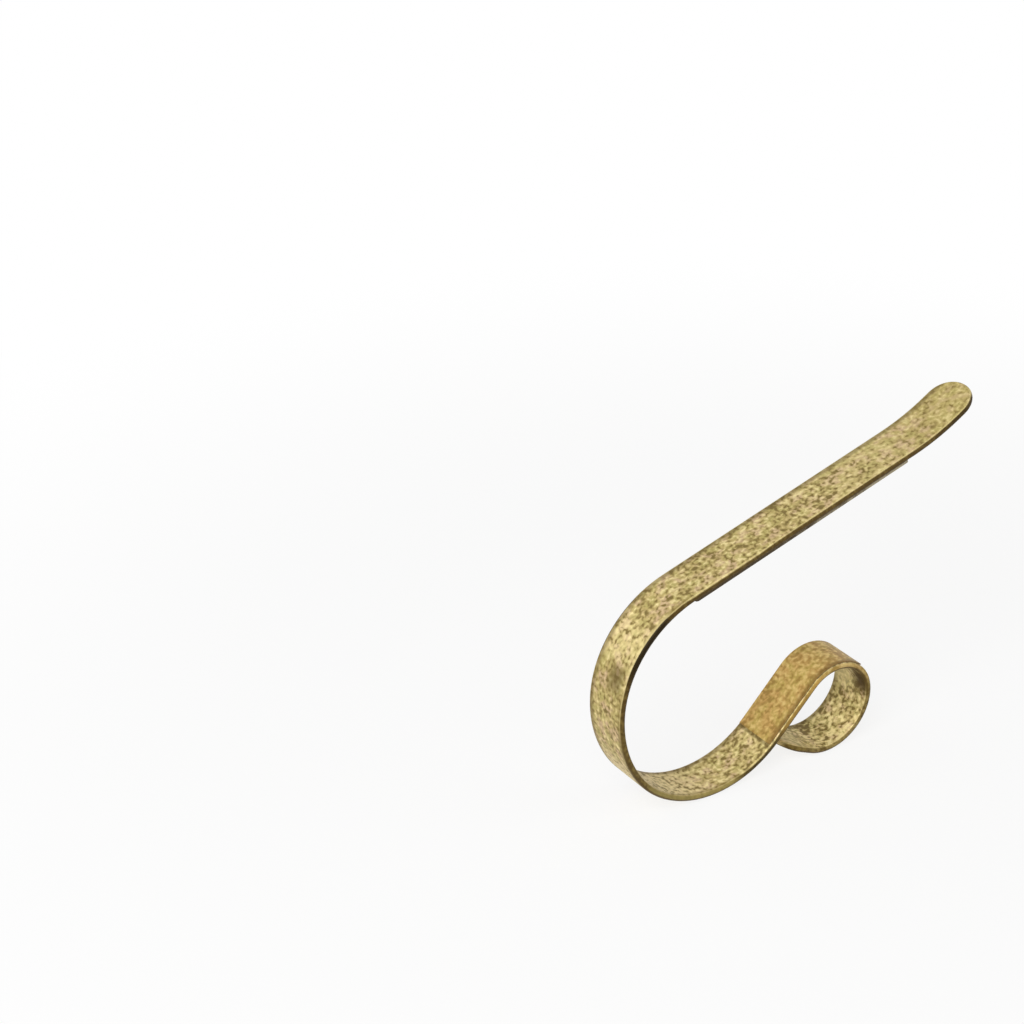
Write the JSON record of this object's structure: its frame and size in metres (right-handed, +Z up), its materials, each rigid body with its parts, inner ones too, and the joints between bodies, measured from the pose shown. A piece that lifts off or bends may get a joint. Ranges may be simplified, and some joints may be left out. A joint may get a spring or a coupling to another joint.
{
  "type": "mantel stocking holder",
  "caption": "Flat metal strip bent into a spring clip for a mantel shelf: straight padded arm, round front bend, belly for a stocking's loop, padded crest and scroll end.",
  "frame": {"origin": "on the surface that the holder stands on, under the middle of its box", "axes": "+X from the round front bend towards the arm's tip at the back, +Y across the strip, +Z up as it stands on its belly and scroll"},
  "size_m": [0.1042, 0.0126, 0.0863],
  "materials": {
    "antique_gold_strip": "antique gold leaf look with brown and olive specks, satin",
    "arm_pad": "smoky soft plastic, satin",
    "crest_film": "clear amber soft film, satin"
  },
  "bodies": {
    "root": {"bent_strip": "antique_gold_strip", "arm_grip_pad": "arm_pad", "crest_grip_pad": "crest_film"}
  },
  "joints": []
}
